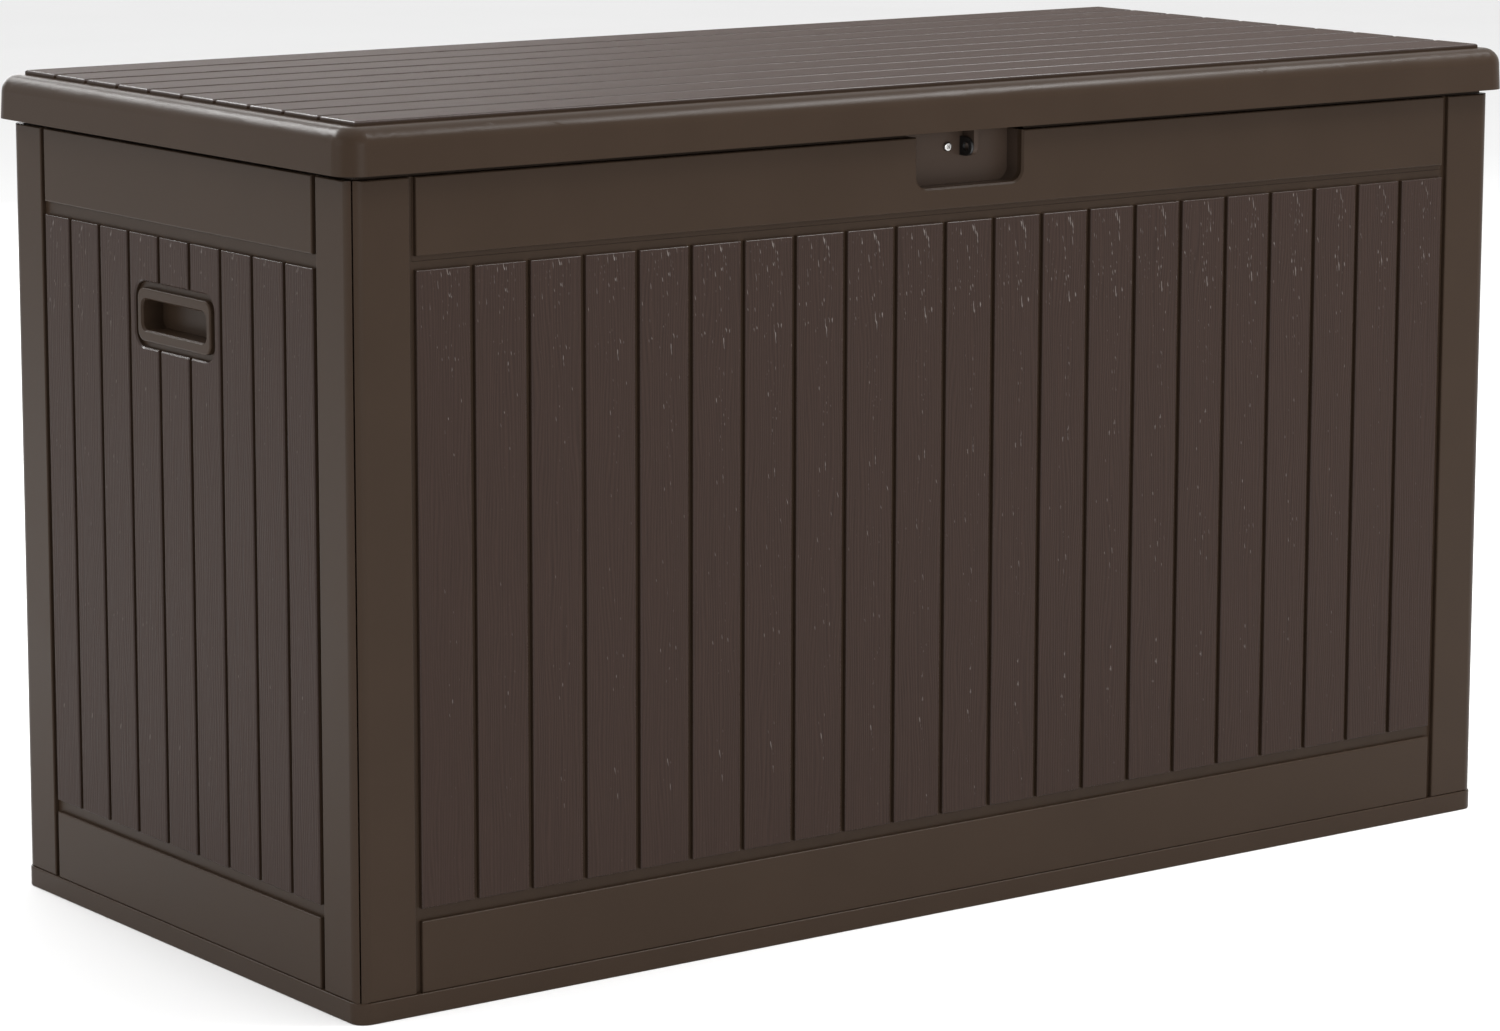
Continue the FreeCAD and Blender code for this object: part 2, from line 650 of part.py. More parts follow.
# ---- floor tray --------------------------------------------------------------------
def base_floor():
    """The floor tray: plinth, floor plate, ribs below and a locating lip above."""
    length = BODY_LENGTH + 2 * PLINTH_PROUD
    depth = BODY_DEPTH + 2 * PLINTH_PROUD
    tray = plan_prism(length, depth, PLINTH_CORNER_R, 0.0, WALL_BOTTOM)
    tray = tray.makeFillet(EDGE_R, edges_at_height(tray, 0.0) + edges_at_height(tray, WALL_BOTTOM))
    under = WALL_BOTTOM - FLOOR_THICK
    hollow = plan_prism(length - 2 * FLANGE, depth - 2 * FLANGE, PLINTH_CORNER_R - FLANGE, -1.0, under)
    tray = tray.cut(hollow)
    ribs = []
    count_x = int(length / 2 / FLOOR_RIB_X)
    for k in range(-count_x + 1, count_x):
        x = k * FLOOR_RIB_X
        ribs.append(block(x - RIB / 2, x + RIB / 2, -depth / 2 + 2, depth / 2 - 2, 0.0, under + 1))
    for k in range(-2, 3):
        y = k * FLOOR_RIB_Y
        ribs.append(block(-length / 2 + 2, length / 2 - 2, y - RIB / 2, y + RIB / 2, 0.0, under + 1))
    half = CENTRE_PAD / 2
    ribs.append(block(-half, half, -half, half, 0.0, FLOOR_THICK))
    lip_x = HALF_LENGTH - WALL_DEPTH - LIP_CLEARANCE
    lip_y = HALF_DEPTH - WALL_DEPTH - LIP_CLEARANCE
    lip = block(-lip_x, lip_x, -lip_y, lip_y, WALL_BOTTOM - 1, WALL_BOTTOM + LIP_HEIGHT)
    well = block(
        -lip_x + FLANGE, lip_x - FLANGE, -lip_y + FLANGE, lip_y - FLANGE,
        WALL_BOTTOM - 2, WALL_BOTTOM + LIP_HEIGHT + 1,
    )
    tray = join(tray, ribs + [lip.cut(well)])
    clearance = [
        rod(PILOT_R + 0.2, Vec(x, y, under - 1), Vec(x, y, WALL_BOTTOM + 1))
        for x, y in base_screw_spots()
    ]
    return tray.cut(clearance)


def base_screw_spots():
    """Where the screws come up through the floor into the four walls."""
    spots = []
    for side in (-1, 1):
        spots += [(x, side * (HALF_DEPTH - BASE_SCREW_DEPTH)) for x in BASE_SCREW_X]
        spots += [(side * (HALF_LENGTH - BASE_SCREW_DEPTH), y) for y in BASE_SCREW_Y]
    return spots


def base_screws():
    """Twelve screws, heads under the floor plate."""
    under = WALL_BOTTOM - FLOOR_THICK
    return Part.Compound([
        pan_screw(Vec(x, y, under), Vec(0, 0, 1), BASE_SCREW_LEN) for x, y in base_screw_spots()
    ])


def corner_screws():
    """Twelve screws through the corner tabs into the front and back walls."""
    screws = []
    for side in (-1, 1):
        for face in (-1, 1):
            y = face * (HALF_DEPTH - WALL_DEPTH - TAB_GAP - FLANGE)
            x = side * (HALF_LENGTH - TAB_SCREW_INSET)
            screws += [pan_screw(Vec(x, y, z), Vec(0, face, 0), 20.0) for z in TAB_SCREW_Z]
    return Part.Compound(screws)


# ---- handles -----------------------------------------------------------------------
def handle(sign):
    """A grab handle: a bezel in front of a moulded cup, with snap hooks behind."""
    bezel = rounded_bar(
        HANDLE_LENGTH, HANDLE_HEIGHT, HANDLE_CORNER_R, HANDLE_Z, -HANDLE_PROUD, RELIEF
    )
    bezel = bezel.makeFillet(1.8, edges_at_depth(bezel, -HANDLE_PROUD))
    cup_l = GRIP_LENGTH + 2 * HANDLE_WALL
    cup_h = GRIP_HEIGHT + 2 * HANDLE_WALL
    cup_r = GRIP_CORNER_R + HANDLE_WALL
    cup = rounded_bar(cup_l, cup_h, cup_r, HANDLE_Z, RELIEF - 1, GRIP_DEPTH + HANDLE_WALL)
    grip = rounded_bar(GRIP_LENGTH, GRIP_HEIGHT, GRIP_CORNER_R, HANDLE_Z, -2.0, GRIP_DEPTH)
    mouth = [
        rounded_outline(
            GRIP_LENGTH + 2 * grow, GRIP_HEIGHT + 2 * grow, GRIP_CORNER_R + grow, HANDLE_Z, y
        )
        for grow, y in ((2.0, -HANDLE_PROUD - 0.5), (0.0, 1.5))
    ]
    body = bezel.fuse(cup).cut([grip, Part.makeLoft(mouth, True, True)])
    hooks = []
    for end in (-1, 1):
        tip = HANDLE_Z + end * (cup_h / 2 + 2.2)
        root = HANDLE_Z + end * (cup_h / 2 - 1)
        z0, z1 = sorted((root, tip))
        for x in (-35.0, 35.0):
            hooks.append(block(x - 7, x + 7, GROOVE_FLOOR + 0.3, GROOVE_FLOOR + 4, z0, z1))
    body = join(body, hooks)
    return place_wall(body, sign * 90, sign * HALF_LENGTH, 0)


# ---- padlock eye -------------------------------------------------------------------
def d_plate(x0, x1, root_y, top_z):
    """A D-shaped ear with its padlock hole, from a straight root to a round nose."""
    flat = block(x0, x1, LOCK_Y, root_y, EYE_Z - EYE_R, top_z)
    nose = rod(EYE_R, Vec(x0, LOCK_Y, EYE_Z), Vec(x1, LOCK_Y, EYE_Z))
    front = block(x0, x1, LOCK_Y - 2 * EYE_R, root_y, EYE_Z - 2 * EYE_R, top_z)
    hole = rod(EYE_HOLE_R, Vec(x0 - 1, LOCK_Y, EYE_Z), Vec(x1 + 1, LOCK_Y, EYE_Z))
    return flat.fuse(nose.common(front)).removeSplitter(), hole


def box_lock_eye():
    """The black steel eye: a flange behind the pocket and an ear through its slot."""
    behind = -HALF_DEPTH + RECESS_DEPTH + RECESS_WALL
    ear, hole = d_plate(EYE_X, EYE_X + EYE_THICK, behind + EYE_THICK, EYE_Z + EYE_R)
    flange = block(
        EYE_FLANGE_START, EYE_X + EYE_THICK, behind, behind + EYE_THICK,
        EYE_Z - EYE_FLANGE_HALF, EYE_Z + EYE_FLANGE_HALF,
    )
    screw_hole = rod(
        PILOT_R, Vec(LOCK_SCREW_X, behind - 1, EYE_Z), Vec(LOCK_SCREW_X, behind + 4, EYE_Z)
    )
    return join(ear, [flange]).cut([hole, screw_hole])


def lock_eye_screw():
    """The bright screw that holds the eye, driven from the front."""
    face = -HALF_DEPTH + RECESS_DEPTH
    return pan_screw(Vec(LOCK_SCREW_X, face, EYE_Z), Vec(0, 1, 0), 8.0, HEAD_R, True)


def lid_lock_tongue():
    """The moulded tongue that hangs from the lid beside the eye, for the same padlock."""
    wall_face = -HALF_DEPTH + RECESS_DEPTH
    ear, hole = d_plate(TONGUE_X, TONGUE_X + TONGUE_THICK, wall_face - 1.0, TONGUE_TOP - 1)
    upper = block(TONGUE_X, TONGUE_X + TONGUE_THICK, LOCK_Y - EYE_R, LOCK_Y, EYE_Z, TONGUE_TOP - 1)
    foot = block(
        TONGUE_X - TONGUE_FOOT_REACH, TONGUE_X + TONGUE_THICK + TONGUE_FOOT_REACH,
        LOCK_Y - EYE_R, wall_face - 1.0, TONGUE_TOP - TONGUE_FOOT, TONGUE_TOP,
    )
    holes = [
        rod(PILOT_R + 0.2, Vec(x, LOCK_Y, TONGUE_TOP - 6), Vec(x, LOCK_Y, TONGUE_TOP + 1))
        for x in TONGUE_SCREW_X
    ]
    return join(ear, [upper, foot]).cut([hole] + holes)


def lock_tongue_screws():
    """Two screws up through the tongue's foot into the lid."""
    return Part.Compound([
        pan_screw(Vec(x, LOCK_Y, TONGUE_TOP - TONGUE_FOOT), Vec(0, 0, 1), 12.0, 4.0) for x in TONGUE_SCREW_X
    ])


# ---- lid ---------------------------------------------------------------------------
def lid_form(inset, z0, z1, top_r):
    """The lid's drafted outer form, or its inner form when inset by the skin."""
    length = LID_LENGTH - 2 * inset
    depth = LID_DEPTH - 2 * inset
    radius = LID_CORNER_R - inset
    low = plan_prism(length, depth, radius, z0, z0 + 1).slice(Vec(0, 0, 1), z0 + 0.5)[0]
    high = plan_prism(
        length - 2 * LID_DRAFT, depth - 2 * LID_DRAFT, radius - LID_DRAFT / 2, z1, z1 + 1
    ).slice(Vec(0, 0, 1), z1 + 0.5)[0]
    low.translate(Vec(0, 0, -0.5))
    high.translate(Vec(0, 0, -0.5))
    form = Part.makeLoft([low, high], True, True)
    return form.makeFillet(top_r, edges_at_height(form, z1))


def deck_planks():
    """The raised boards on top of the lid, running along it."""
    pitch = DECK_DEPTH / LID_PLANKS
    boards = []
    for k in range(LID_PLANKS):
        y0 = -DECK_DEPTH / 2 + k * pitch + (PLANK_GROOVE / 2 if k else 0.0)
        y1 = -DECK_DEPTH / 2 + (k + 1) * pitch - (PLANK_GROOVE / 2 if k < LID_PLANKS - 1 else 0.0)
        board = block(-DECK_LENGTH / 2, DECK_LENGTH / 2, y0, y1, RIM_TOP - 1, TOTAL_HEIGHT)
        boards.append(board.makeFillet(DECK_EDGE_R, edges_at_height(board, TOTAL_HEIGHT)))
    return boards


def landing_rib():
    """The rib under the lid that comes down on the walls, set back over the lock."""
    outer_x = HALF_LENGTH - LANDING_INSET
    outer_y = HALF_DEPTH - LANDING_INSET
    top = RIM_TOP - LID_SKIN + 1
    ring = block(-outer_x, outer_x, -outer_y, outer_y, LANDING_BOTTOM, top).cut(
        block(
            -outer_x + LANDING_THICK, outer_x - LANDING_THICK,
            -outer_y + LANDING_THICK, outer_y - LANDING_THICK,
            LANDING_BOTTOM - 1, top + 1,
        )
    )
    back_y = -HALF_DEPTH + WALL_DEPTH - 0.8
    half = RECESS_LENGTH / 2 + 8
    notch = block(-half, half, -outer_y - 1, -outer_y + LANDING_THICK + 1, LANDING_BOTTOM - 1, top + 1)
    detour = block(-half - LANDING_THICK, half + LANDING_THICK, -outer_y, back_y, LANDING_BOTTOM, top)
    inside = block(-half, half, -outer_y - 1, back_y - LANDING_THICK, LANDING_BOTTOM - 1, top + 1)
    return [ring.cut(notch), detour.cut(inside)]


def deck_hollows():
    """The moulded hollows behind the deck boards, short of the screw bosses."""
    pitch = DECK_DEPTH / LID_PLANKS
    inset = PLANK_GROOVE / 2 + RIB
    hollows = []
    for k in range(LID_PLANKS):
        start = -DECK_DEPTH / 2 + k * pitch
        y0 = max(start + inset, -DECK_HOLLOW_Y)
        y1 = min(start + pitch - inset, DECK_HOLLOW_Y)
        hollows.append(
            block(-DECK_HOLLOW_X, DECK_HOLLOW_X, y0, y1, RIM_TOP - LID_SKIN - 1, TOTAL_HEIGHT - SKIN)
        )
    return hollows


def lid_ribs():
    """Stiffening grid under the lid; the long ribs lie under grooves of the deck."""
    top = RIM_TOP - LID_SKIN
    bottom = top - LID_RIB_DEPTH
    reach_x = 5 * LID_RIB_X + RIB / 2
    reach_y = HALF_DEPTH - LANDING_INSET - LANDING_THICK + 1
    ribs = []
    for k in range(-5, 6):
        x = k * LID_RIB_X
        ribs.append(block(x - RIB / 2, x + RIB / 2, -reach_y, reach_y, bottom, top + 1))
    for k in range(-2, 3):
        y = 2 * k * DECK_DEPTH / LID_PLANKS
        ribs.append(block(-reach_x, reach_x, y - RIB / 2, y + RIB / 2, bottom, top + 1))
    return ribs


def lid_lug(x):
    """The lid's half of one hinge: a knuckle hanging from the skirt."""
    x0, x1 = x - LID_LUG_W / 2, x + LID_LUG_W / 2
    web = block(x0, x1, HINGE_Y - 6.5, HINGE_Y + 4.8, HINGE_Z, SKIRT_BOTTOM + LID_LUG_RISE)
    return web.fuse(rod(KNUCKLE_R, Vec(x0, HINGE_Y, HINGE_Z), Vec(x1, HINGE_Y, HINGE_Z)))


def lid_shell():
    """The lid: a drafted, round-shouldered tray with a board deck and ribs below."""
    top = RIM_TOP - LID_SKIN
    outer = lid_form(0.0, SKIRT_BOTTOM, RIM_TOP, LID_TOP_R)
    inner = lid_form(LID_SKIN, SKIRT_BOTTOM - 2, top, LID_TOP_R - LID_SKIN)
    shell = outer.cut(inner).fuse(deck_planks()).cut(deck_hollows())
    bosses = []
    pilots = []
    for x, y in lid_boss_spots():
        floor = BRACKET_TOP if abs(x) > 600 else TONGUE_TOP
        bosses.append(rod(LID_BOSS_R, Vec(x, y, floor), Vec(x, y, top + 1)))
        pilots.append(rod(PILOT_R, Vec(x, y, floor - 1), Vec(x, y, top + 2)))
    lugs = [lid_lug(x) for x in HINGE_X]
    tongue_room = block(-30.0, 50.0, -HALF_DEPTH + 3, -HALF_DEPTH + WALL_DEPTH - 6, 0.0, TONGUE_TOP)
    ribs = [rib.cut(tongue_room) for rib in lid_ribs()]
    shell = shell.fuse(landing_rib() + ribs + bosses + lugs).removeSplitter()
    bores = []
    for x in HINGE_X:
        ends = (Vec(x - LID_LUG_W, HINGE_Y, HINGE_Z), Vec(x + LID_LUG_W, HINGE_Y, HINGE_Z))
        bores.append(rod(RUNNING_BORE_R, *ends))
    return shell.cut(pilots + bores)


# ---- hinge pins --------------------------------------------------------------------
def hinge_pins():
    """Four headed pins."""
    reach = LID_LUG_W / 2 + LUG_GAP + FIXED_LUG_W
    pins = []
    for x in HINGE_X:
        shaft = rod(PIN_R, Vec(x - reach, HINGE_Y, HINGE_Z), Vec(x + reach + 4, HINGE_Y, HINGE_Z))
        head = rod(PIN_HEAD_R, Vec(x - reach - 2.2, HINGE_Y, HINGE_Z), Vec(x - reach, HINGE_Y, HINGE_Z))
        pins.append(shaft.fuse(head))
    return Part.Compound(pins)


def hinge_pin_clips():
    """Four push-on clips at the pins' plain ends."""
    reach = LID_LUG_W / 2 + LUG_GAP + FIXED_LUG_W
    return Part.Compound([push_clip(x + reach, 1, HINGE_Y, HINGE_Z) for x in HINGE_X])


def push_clip(x, sign, y, z):
    """A dished push-on clip whose seat is at x, on a pin that runs along X."""
    disc = rod(7.0, Vec(x, y, z), Vec(x + sign * 1.0, y, z))
    hub = rod(5.2, Vec(x, y, z), Vec(x + sign * 2.2, y, z))
    bore = rod(FIXED_BORE_R, Vec(x - sign, y, z), Vec(x + sign * 4, y, z))
    return disc.fuse(hub).cut(bore)


# ---- gas struts, built at the right-hand end ---------------------------------------
def bracket_pin(root_x, y, z):
    """The pivot pin of a strut bracket, pointing into the box."""
    return rod(PIN_R, Vec(root_x, y, z), Vec(PIN_TIP_X, y, z))


def strut_wall_bracket():
    """Steel plate screwed to the end wall, with a riveted pivot pin."""
    outer_x = HALF_LENGTH - WALL_DEPTH
    inner_x = outer_x - BRACKET_PLATE
    tall = BRACKET_SCREW_SPREAD + 10
    plate = block(inner_x, outer_x, LOW_Y - 13, LOW_Y + 13, LOW_Z - tall, LOW_Z + tall)
    plate = plate.makeFillet(6.0, [e for e in plate.Edges if e.BoundBox.XLength > 1])
    shoulder = rod(6.5, Vec(inner_x, LOW_Y, LOW_Z), Vec(STRUT_X + EYELET_W / 2 + 0.5, LOW_Y, LOW_Z))
    holes = [
        rod(PILOT_R + 0.2, Vec(inner_x - 1, LOW_Y, LOW_Z + dz), Vec(outer_x + 1, LOW_Y, LOW_Z + dz))
        for dz in (-BRACKET_SCREW_SPREAD, BRACKET_SCREW_SPREAD)
    ]
    return join(plate, [shoulder, bracket_pin(inner_x, LOW_Y, LOW_Z)]).cut(holes)


def wall_bracket_screws():
    """Two screws for each wall bracket."""
    x = HALF_LENGTH - WALL_DEPTH - BRACKET_PLATE
    right = [
        pan_screw(Vec(x, LOW_Y, LOW_Z + dz), Vec(1, 0, 0), 20.0)
        for dz in (-BRACKET_SCREW_SPREAD, BRACKET_SCREW_SPREAD)
    ]
    return Part.Compound(right + [mirror_x(screw) for screw in right])


def strut_lid_bracket():
    """Bent steel bracket under the lid: a flange with two holes and a hanging ear."""
    ear_out = STRUT_X + EYELET_W / 2 + 0.5 + BRACKET_PLATE
    ear_in = ear_out - BRACKET_PLATE
    flange = block(
        STRUT_X - 12, ear_out, HIGH_Y - BRACKET_SCREW_SPREAD - 9, HIGH_Y + BRACKET_SCREW_SPREAD + 9,
        BRACKET_TOP - BRACKET_PLATE, BRACKET_TOP,
    )
    ear = block(ear_in, ear_out, HIGH_Y - 9, HIGH_Y + 9, HIGH_Z, BRACKET_TOP - 1)
    ear_round = rod(9.0, Vec(ear_in, HIGH_Y, HIGH_Z), Vec(ear_out, HIGH_Y, HIGH_Z))
    holes = [
        rod(
            PILOT_R + 0.2,
            Vec(STRUT_X, HIGH_Y + dy, BRACKET_TOP - 4), Vec(STRUT_X, HIGH_Y + dy, BRACKET_TOP + 1),
        )
        for dy in (-BRACKET_SCREW_SPREAD, BRACKET_SCREW_SPREAD)
    ]
    return join(flange, [ear, ear_round, bracket_pin(ear_out, HIGH_Y, HIGH_Z)]).cut(holes)


def lid_boss_spots():
    """Where screws go up into the lid: strut brackets and lock tongue."""
    spots = [(x, LOCK_Y) for x in TONGUE_SCREW_X]
    for side in (-1, 1):
        for dy in (-BRACKET_SCREW_SPREAD, BRACKET_SCREW_SPREAD):
            spots.append((side * STRUT_X, HIGH_Y + dy))
    return spots


def lid_bracket_screws():
    """Two screws for each lid bracket."""
    z = BRACKET_TOP - BRACKET_PLATE
    right = [
        pan_screw(Vec(STRUT_X, HIGH_Y + dy, z), Vec(0, 0, 1), 9.0)
        for dy in (-BRACKET_SCREW_SPREAD, BRACKET_SCREW_SPREAD)
    ]
    return Part.Compound(right + [mirror_x(screw) for screw in right])


def along_strut(shape):
    """Lay a piece built up the Z axis along the strut, from its low pivot."""
    low = Vec(STRUT_X, LOW_Y, LOW_Z)
    aim = Vec(STRUT_X, HIGH_Y, HIGH_Z).sub(low)
    tilt = math.degrees(math.atan2(-aim.y, aim.z))
    shape.rotate(Vec(0, 0, 0), Vec(1, 0, 0), tilt)
    shape.translate(low)
    return shape


def strut_length():
    """Distance between the pivots with the lid shut."""
    return math.hypot(HIGH_Y - LOW_Y, HIGH_Z - LOW_Z)


def eyelet(centre, toward):
    """A moulded end eye: a round eye across X and a neck towards the strut."""
    half = EYELET_W / 2
    eye = rod(EYELET_R, Vec(-half, 0, centre), Vec(half, 0, centre))
    neck = rod(5.5, Vec(0, 0, centre), Vec(0, 0, centre + toward * NECK_END))
    bore = rod(RUNNING_BORE_R, Vec(-half - 1, 0, centre), Vec(half + 1, 0, centre))
    return join(eye, [neck]).cut(bore)


def strut_lower_eye():
    """The eye at the cylinder's closed end."""
    return along_strut(eyelet(0.0, 1))


def strut_cylinder():
    """The pressure tube, closed below and rolled in over the rod guide above."""
    tube = rod(TUBE_R, Vec(0, 0, NECK_END), Vec(0, 0, TUBE_END))
    rims = edges_at_height(tube, NECK_END) + edges_at_height(tube, TUBE_END)
    tube = tube.makeFillet(1.0, rims)
    bore = rod(TUBE_BORE_R, Vec(0, 0, NECK_END + 4), Vec(0, 0, TUBE_END - 1.2))
    mouth = rod(ROD_R + 1.5, Vec(0, 0, TUBE_END - 2), Vec(0, 0, TUBE_END + 1))
    return along_strut(tube.cut([bore, mouth]))


def strut_rod_guide():
    """The seal and guide inside the tube's upper end."""
    end = TUBE_END - 1.2
    guide = rod(TUBE_BORE_R - 0.05, Vec(0, 0, end - GUIDE_LEN), Vec(0, 0, end))
    return along_strut(guide.cut(rod(ROD_BORE_R, Vec(0, 0, end - GUIDE_LEN - 1), Vec(0, 0, end + 1))))


def strut_rod():
    """The polished rod."""
    start = Vec(0, 0, PISTON_START + PISTON_LEN)
    return along_strut(rod(ROD_R, start, Vec(0, 0, strut_length() - NECK_END)))


def strut_piston():
    """The piston on the rod's lower end."""
    return along_strut(rod(PISTON_R, Vec(0, 0, PISTON_START), Vec(0, 0, PISTON_START + PISTON_LEN)))


def strut_upper_eye():
    """The eye at the rod's end."""
    return along_strut(eyelet(strut_length(), -1))


def strut_clips(y, z):
    """Clips on the two pivot pins at one height, one at each end of the box."""
    right = push_clip(STRUT_X - EYELET_W / 2 - 0.5, -1, y, z)
    return Part.Compound([right, mirror_x(right)])


# ---- write every piece -------------------------------------------------------------
os.makedirs("parts", exist_ok=True)

save("base_floor", base_floor())
front = whole_front()
save("front_panel", front_panel(front))
save("front_top_rail", front_top_rail(front))
save("front_rail_screws", front_rail_screws())
save("back_panel", back_panel())
save("left_panel", side_panel(-1))
save("right_panel", side_panel(1))
save("left_handle", handle(-1))
save("right_handle", handle(1))
save("lock_pocket", lock_pocket())
save("lock_pocket_screws", lock_pocket_screws())
save("box_lock_eye", box_lock_eye())
save("lock_eye_screw", lock_eye_screw())
save("corner_screws", corner_screws())
save("base_screws", base_screws())
save("hinge_pins", hinge_pins())
save("hinge_pin_clips", hinge_pin_clips())
save("wall_bracket_screws", wall_bracket_screws())
save("lower_strut_clips", strut_clips(LOW_Y, LOW_Z))
save("lid_shell", lid_shell())
save("lid_lock_tongue", lid_lock_tongue())
save("lock_tongue_screws", lock_tongue_screws())
save("lid_bracket_screws", lid_bracket_screws())
save("upper_strut_clips", strut_clips(HIGH_Y, HIGH_Z))

for part_name, make in (
    ("strut_wall_bracket", strut_wall_bracket),
    ("strut_lid_bracket", strut_lid_bracket),
    ("strut_cylinder", strut_cylinder),
    ("strut_rod_guide", strut_rod_guide),
    ("strut_lower_eye", strut_lower_eye),
    ("strut_rod", strut_rod),
    ("strut_piston", strut_piston),
    ("strut_upper_eye", strut_upper_eye),
):
    right_piece = make()
    save("right_" + part_name, right_piece)
    save("left_" + part_name, mirror_x(right_piece))

print("strut length shut", round(strut_length(), 2), "low pivot", round(LOW_Y, 2), round(LOW_Z, 2))
print("high pivot", round(HIGH_Y, 2), round(HIGH_Z, 2), "hinge", HINGE_Y, HINGE_Z)
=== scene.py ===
"""Looks for the deck storage box: resin, steel and nylon materials, camera, floor and lights.

Everything is in metres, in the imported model's frame: +X right along the box, +Y to the back,
+Z up, with the origin on the ground under the middle of the box.
"""

import json
import math

import bpy
from mathutils import Matrix, Vector

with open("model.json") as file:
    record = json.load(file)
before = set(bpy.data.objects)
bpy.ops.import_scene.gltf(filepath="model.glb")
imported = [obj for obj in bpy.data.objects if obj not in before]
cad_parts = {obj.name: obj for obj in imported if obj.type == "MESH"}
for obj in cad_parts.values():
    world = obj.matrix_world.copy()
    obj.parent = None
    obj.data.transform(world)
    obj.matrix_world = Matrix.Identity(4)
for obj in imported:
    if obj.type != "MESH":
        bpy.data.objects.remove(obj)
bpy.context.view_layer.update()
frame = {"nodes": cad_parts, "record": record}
nodes = frame["nodes"]

X_AXIS = 0
Y_AXIS = 1
Z_AXIS = 2
MM_PER_M = 1000.0

# board pattern, as moulded into the walls and the lid
FRONT_BOARDS = 21
SIDE_BOARDS = 9
DECK_BOARDS = 10
FRONT_PITCH = 0.0629
SIDE_PITCH = 0.0593
DECK_PITCH = 0.0635
PLANK_BOTTOM = 0.1035
PLANK_TOP = 0.7135

# the walls, and how far their boards' fields reach from the middle
BODY_HALF_LENGTH = 0.731
BODY_HALF_DEPTH = 0.328
FRONT_BORDER = 0.0677
SIDE_BORDER = 0.0656
FRONT_FIELD = BODY_HALF_LENGTH - FRONT_BORDER
SIDE_FIELD = BODY_HALF_DEPTH - SIDE_BORDER

# depths below a board's face that still count as its face, and as its rounded edge
FACE_DEPTH = 0.0001
EDGE_DEPTH = 0.0016
DECK_TOP = 0.855
DECK_EDGE_DEPTH = 0.0025
DECK_HALF_LENGTH = 0.719


# ---- node helpers ------------------------------------------------------------------
def add(tree, kind, inputs=None, **settings):
    """A shader node with its settings, and sockets linked or set."""
    made = tree.nodes.new(kind)
    for key, value in settings.items():
        setattr(made, key, value)
    for key, value in (inputs or {}).items():
        if isinstance(value, bpy.types.NodeSocket):
            tree.links.new(value, made.inputs[key])
        else:
            made.inputs[key].default_value = value
    return made


def calc(tree, operation, *values):
    """The result of one arithmetic step."""
    return add(tree, "ShaderNodeMath", dict(enumerate(values)), operation=operation).outputs[0]


def noise(tree, vector, scale, detail=2.0, roughness=0.5):
    """A noise value between 0 and 1."""
    settings = {"Vector": vector, "Scale": scale, "Detail": detail, "Roughness": roughness}
    return add(tree, "ShaderNodeTexNoise", settings).outputs["Fac"]


def ramp(tree, value, low, high, start=0.0, end=1.0):
    """A value mapped from one range to another, held at its ends."""
    made = add(
        tree,
        "ShaderNodeMapRange",
        {"Value": value, "From Min": start, "From Max": end, "To Min": low, "To Max": high},
    )
    made.clamp = True
    return made.outputs["Result"]


# where a Mix node keeps its two colours, and where the mixed one comes out
FIRST_COLOUR = 6
SECOND_COLOUR = 7
MIXED_COLOUR = 2


def mix_colours(tree, factor, first, second):
    """A mix of two colours, each either plain or another node's output."""
    sockets = {"Factor": factor, FIRST_COLOUR: first, SECOND_COLOUR: second}
    return add(tree, "ShaderNodeMix", sockets, data_type="RGBA").outputs[MIXED_COLOUR]


def new_material(name):
    """An empty node material with its shader, and the piece's own coordinates in metres."""
    material = bpy.data.materials.new(name)
    material.use_nodes = True
    tree = material.node_tree
    shader = tree.nodes["Principled BSDF"]
    where = add(tree, "ShaderNodeTexCoord").outputs["Object"]
    return material, tree, shader, where


def opaque(colour):
    """A colour with the full alpha that its socket asks for."""
    return (*colour, 1.0)


def shaded(colour, factor):
    """A colour made lighter or darker."""
    return opaque(channel * factor for channel in colour)


def bump(tree, shader, height, distance):
    """Relief on a surface: height is in units of distance."""
    settings = {"Height": height, "Distance": distance, "Strength": 1.0}
    made = add(tree, "ShaderNodeBump", settings)
    tree.links.new(made.outputs["Normal"], shader.inputs["Normal"])


def vary_roughness(tree, shader, value, low, high, start, end):
    """Gloss that follows a value."""
    tree.links.new(ramp(tree, value, low, high, start, end), shader.inputs["Roughness"])


# ---- materials ---------------------------------------------------------------------
SMOOTH_BROWN = (0.0325, 0.0204, 0.0132)
BOARD_BROWN = (0.0300, 0.0182, 0.0142)
# the lock's brown is the smooth brown made lighter with painted fill light, lifting the shade
# inside the recess and on the lid's tongue
LOCK_BROWN_PAINTED_FILL = (0.0500, 0.0340, 0.0255)
# the deck's brown is the board brown made lighter with painted light: stronger light from
# above painted onto the lid's top
DECK_BROWN_PAINTED_LIGHT = (0.0360, 0.0216, 0.0165)
# pale grey painted on the raised flecks as a painted glint of light
PAINTED_GLINT_GREY = (0.150, 0.130, 0.120)
RESIN_IOR = 1.38
RESIN_SHINE = 0.14


def set_resin(shader, shine):
    """How strongly resin mirrors its surroundings."""
    shader.inputs["Specular IOR Level"].default_value = shine
    shader.inputs["IOR"].default_value = RESIN_IOR


